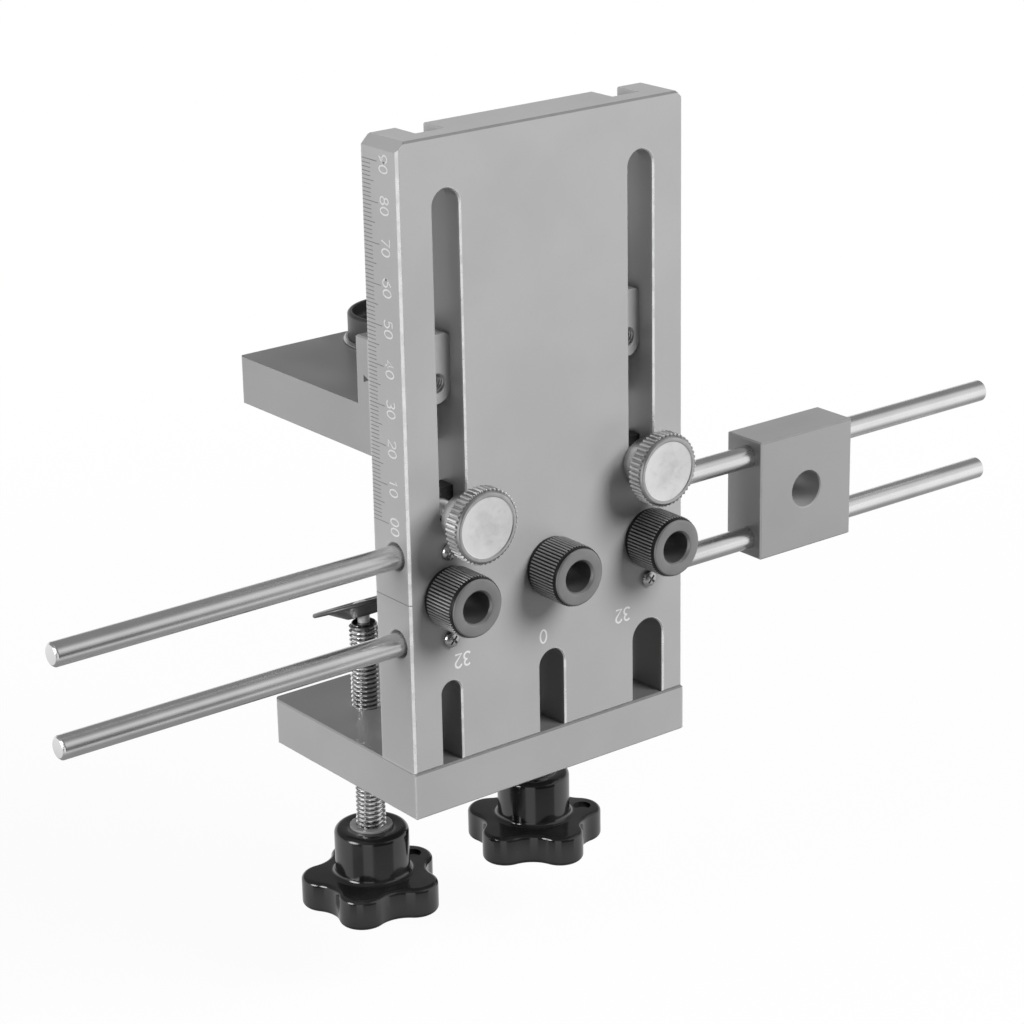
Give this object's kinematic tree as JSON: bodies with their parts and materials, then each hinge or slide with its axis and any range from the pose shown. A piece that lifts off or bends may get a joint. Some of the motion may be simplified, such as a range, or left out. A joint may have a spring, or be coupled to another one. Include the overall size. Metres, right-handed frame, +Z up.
{
  "type": "dowel jig",
  "caption": "Dowel drilling jig: slotted body plate with drill bushes, sliding fence, index block on rods, and a base with two clamp screws.",
  "frame": {"origin": "on the axis of the centre bush, in the rear face of the body plate, which meets the panel's end", "axes": "+X to the right along the rods, +Y to the rear, +Z up along the body plate"},
  "size_m": [0.3, 0.0856, 0.217],
  "materials": {
    "anodised_aluminium": "fine matt grey anodising",
    "bush_steel": "dark grey steel, straight knurl",
    "dark_steel": "blackened steel",
    "ground_steel": "ground bright steel",
    "plated_steel": "bright nickel plating",
    "black_sleeve": "black satin",
    "black_phenolic": "polished black phenolic"
  },
  "bodies": {
    "jig_body": {"body_plate": "anodised_aluminium", "base_plate": "anodised_aluminium", "base_fixing_screws": "dark_steel"},
    "left_bush": {"left_drill_bush": "bush_steel"},
    "centre_bush": {"centre_drill_bush": "bush_steel"},
    "right_bush": {"right_drill_bush": "bush_steel"},
    "upper_left_lock": {"upper_left_lock_screw": "plated_steel"},
    "lower_left_lock": {"lower_left_lock_screw": "plated_steel"},
    "upper_right_lock": {"upper_right_lock_screw": "plated_steel"},
    "lower_right_lock": {"lower_right_lock_screw": "plated_steel"},
    "upper_rod": {"upper_guide_rod": "ground_steel"},
    "lower_rod": {"lower_guide_rod": "ground_steel"},
    "index_slide": {"index_block": "anodised_aluminium"},
    "fence_slide": {"fence": "anodised_aluminium", "left_fence_key": "anodised_aluminium", "right_fence_key": "anodised_aluminium", "fence_key_screws": "dark_steel", "cam_bush_ring": "plated_steel"},
    "cam_sleeve": {"cam_bush": "black_sleeve"},
    "left_nut": {"left_slide_nut": "dark_steel"},
    "left_thumb": {"left_thumb_screw": "plated_steel"},
    "right_nut": {"right_slide_nut": "dark_steel"},
    "right_thumb": {"right_thumb_screw": "plated_steel"},
    "left_pivot": {"left_foot_rivet": "plated_steel"},
    "left_pad": {"left_foot": "plated_steel"},
    "left_spindle": {"left_clamp_screw": "plated_steel", "left_knob_insert": "plated_steel", "left_star_knob": "black_phenolic"},
    "right_pivot": {"right_foot_rivet": "plated_steel"},
    "right_pad": {"right_foot": "plated_steel"},
    "right_spindle": {"right_clamp_screw": "plated_steel", "right_knob_insert": "plated_steel", "right_star_knob": "black_phenolic"}
  },
  "joints": [
    {"name": "upper_rod_slide", "type": "slide", "parent": "jig_body", "child": "upper_rod", "axis": [1, 0, 0], "range_m": [-0.055, 0.09]},
    {"name": "lower_rod_slide", "type": "slide", "parent": "jig_body", "child": "lower_rod", "axis": [1, 0, 0], "range_m": [-0.055, 0.09]},
    {"name": "index_block_slide", "type": "slide", "parent": "jig_body", "child": "index_slide", "axis": [1, 0, 0], "range_m": [-0.027, 0.055]},
    {"name": "fence_height", "type": "slide", "parent": "jig_body", "child": "fence_slide", "axis": [0, 0, 1], "range_m": [-0.021, 0.055]},
    {"name": "cam_bush_lift", "type": "slide", "parent": "fence_slide", "child": "cam_sleeve", "axis": [0, 0, 1], "range_m": [0, 0.03]},
    {"name": "left_bush_removal", "type": "slide", "parent": "jig_body", "child": "left_bush", "axis": [0, -1, 0], "range_m": [0, 0.03]},
    {"name": "centre_bush_removal", "type": "slide", "parent": "jig_body", "child": "centre_bush", "axis": [0, -1, 0], "range_m": [0, 0.03]},
    {"name": "right_bush_removal", "type": "slide", "parent": "jig_body", "child": "right_bush", "axis": [0, -1, 0], "range_m": [0, 0.03]},
    {"name": "upper_left_lock_turn", "type": "hinge", "parent": "jig_body", "child": "upper_left_lock", "pos_m": [-0.032, -0.014, 0.0115], "axis": [0, -1, 0], "continuous": true},
    {"name": "upper_right_lock_turn", "type": "hinge", "parent": "jig_body", "child": "upper_right_lock", "pos_m": [0.032, -0.014, 0.0115], "axis": [0, -1, 0], "continuous": true},
    {"name": "lower_left_lock_turn", "type": "hinge", "parent": "jig_body", "child": "lower_left_lock", "pos_m": [-0.032, -0.014, -0.0115], "axis": [0, -1, 0], "continuous": true},
    {"name": "lower_right_lock_turn", "type": "hinge", "parent": "jig_body", "child": "lower_right_lock", "pos_m": [0.032, -0.014, -0.0115], "axis": [0, -1, 0], "continuous": true},
    {"name": "left_nut_slide", "type": "slide", "parent": "jig_body", "child": "left_nut", "axis": [0, 0, 1], "range_m": [0, 0.021]},
    {"name": "left_thumb_turn", "type": "hinge", "parent": "left_nut", "child": "left_thumb", "pos_m": [-0.03, -0.014, 0.021], "axis": [0, -1, 0], "continuous": true},
    {"name": "right_nut_slide", "type": "slide", "parent": "jig_body", "child": "right_nut", "axis": [0, 0, 1], "range_m": [0, 0.021]},
    {"name": "right_thumb_turn", "type": "hinge", "parent": "right_nut", "child": "right_thumb", "pos_m": [0.03, -0.014, 0.021], "axis": [0, -1, 0], "continuous": true},
    {"name": "left_foot_lift", "type": "slide", "parent": "jig_body", "child": "left_pivot", "axis": [0, 0, 1], "range_m": [-0.02, 0.02125]},
    {"name": "left_foot_tilt", "type": "hinge", "parent": "left_pivot", "child": "left_pad", "pos_m": [-0.0275, 0.03, -0.0194], "axis": [1, 0, 0], "range_deg": [0, 48]},
    {"name": "left_clamp_turn", "type": "hinge", "parent": "left_pivot", "child": "left_spindle", "pos_m": [-0.0275, 0.03, -0.0215], "axis": [0, 0, 1], "range_deg": [-7560, 7920]},
    {"name": "right_foot_lift", "type": "slide", "parent": "jig_body", "child": "right_pivot", "axis": [0, 0, 1], "range_m": [-0.02, 0.02125]},
    {"name": "right_foot_tilt", "type": "hinge", "parent": "right_pivot", "child": "right_pad", "pos_m": [0.0275, 0.03, -0.0194], "axis": [1, 0, 0], "range_deg": [0, 48]},
    {"name": "right_clamp_turn", "type": "hinge", "parent": "right_pivot", "child": "right_spindle", "pos_m": [0.0275, 0.03, -0.0215], "axis": [0, 0, 1], "range_deg": [-7560, 7920]}
  ],
  "couplings": [
    {"joint": "left_clamp_turn", "follows": "left_foot_lift", "rad_per_m": 5026.5},
    {"joint": "right_clamp_turn", "follows": "right_foot_lift", "rad_per_m": 5026.5}
  ]
}
